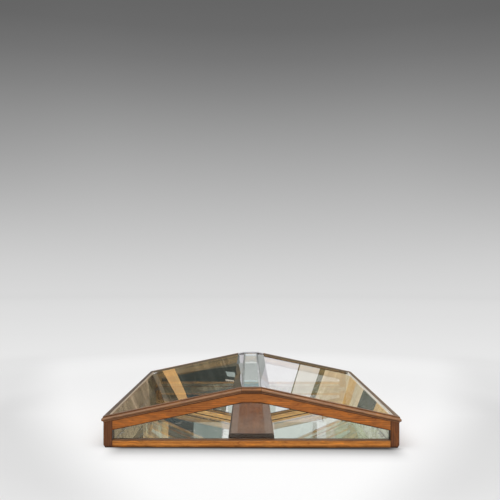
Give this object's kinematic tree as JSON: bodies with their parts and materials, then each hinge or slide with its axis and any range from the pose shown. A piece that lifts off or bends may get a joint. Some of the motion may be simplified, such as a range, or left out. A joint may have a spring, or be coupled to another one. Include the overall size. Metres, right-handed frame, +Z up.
{
  "type": "countertop display case",
  "caption": "Low wooden display case with glazed gables, a twin-pitched bevelled glass roof with a flat ridge, a mirrored floor with a raised centre board, and a rear drop flap.",
  "frame": {"origin": "on the underside, midway between the outer faces of the corner posts in X and in Y", "axes": "+X to the right along the front gable, +Y from the front gable to the rear flap, +Z up"},
  "size_m": [0.607, 0.6275, 0.1222],
  "materials": {
    "oak": "polished, worn",
    "dark_oak": "dark polished",
    "cap_oak": "polished, worn",
    "board_oak": "polished",
    "raw_pine": "unfinished",
    "glass": "clear, bevelled",
    "mirror": "silvered glass",
    "brass": "aged",
    "steel": "dull"
  },
  "bodies": {
    "case": {"base_board": "raw_pine", "base_screws": "steel", "mirror_left": "mirror", "mirror_right": "mirror", "centre_board": "board_oak", "front_bottom_rail": "oak", "rear_bottom_rail": "oak", "front_left_post": "dark_oak", "front_right_post": "dark_oak", "rear_left_post": "dark_oak", "rear_right_post": "dark_oak", "left_side_board": "oak", "right_side_board": "oak", "front_gable_rail": "oak", "rear_head_rail": "oak", "front_glass": "glass", "front_glazing_beads": "raw_pine", "cap_front_left": "cap_oak", "cap_front_ridge": "cap_oak", "cap_front_right": "cap_oak", "cap_rear_left": "cap_oak", "cap_rear_ridge": "cap_oak", "cap_rear_right": "cap_oak", "cap_left": "cap_oak", "cap_right": "cap_oak", "left_roof_glass": "glass", "ridge_glass": "glass", "right_roof_glass": "glass", "flap_stop_slips": "raw_pine", "left_hinge_case_leaf": "brass", "right_hinge_case_leaf": "brass", "left_hinge_pin": "brass", "right_hinge_pin": "brass", "case_hinge_screws": "brass", "turn_button_screws": "brass"},
    "rear_flap": {"flap_bottom_rail": "oak", "flap_top_rail": "oak", "flap_left_stile": "oak", "flap_right_stile": "oak", "flap_glass": "glass", "flap_glazing_beads": "raw_pine", "left_hinge_flap_leaf": "brass", "right_hinge_flap_leaf": "brass", "flap_hinge_screws": "brass", "flap_knob": "brass"},
    "left_button": {"left_turn_button": "brass"},
    "right_button": {"right_turn_button": "brass"}
  },
  "joints": [
    {"name": "flap_hinge", "type": "hinge", "parent": "case", "child": "rear_flap", "pos_m": [0, 0.3089, 0.0155], "axis": [-1, 0, 0], "range_deg": [0, 90]},
    {"name": "left_button_turn", "type": "hinge", "parent": "case", "child": "left_button", "pos_m": [-0.291, 0.306, 0.038], "axis": [0, -1, 0], "range_deg": [0, 90]},
    {"name": "right_button_turn", "type": "hinge", "parent": "case", "child": "right_button", "pos_m": [0.291, 0.306, 0.038], "axis": [0, 1, 0], "range_deg": [0, 90]}
  ]
}
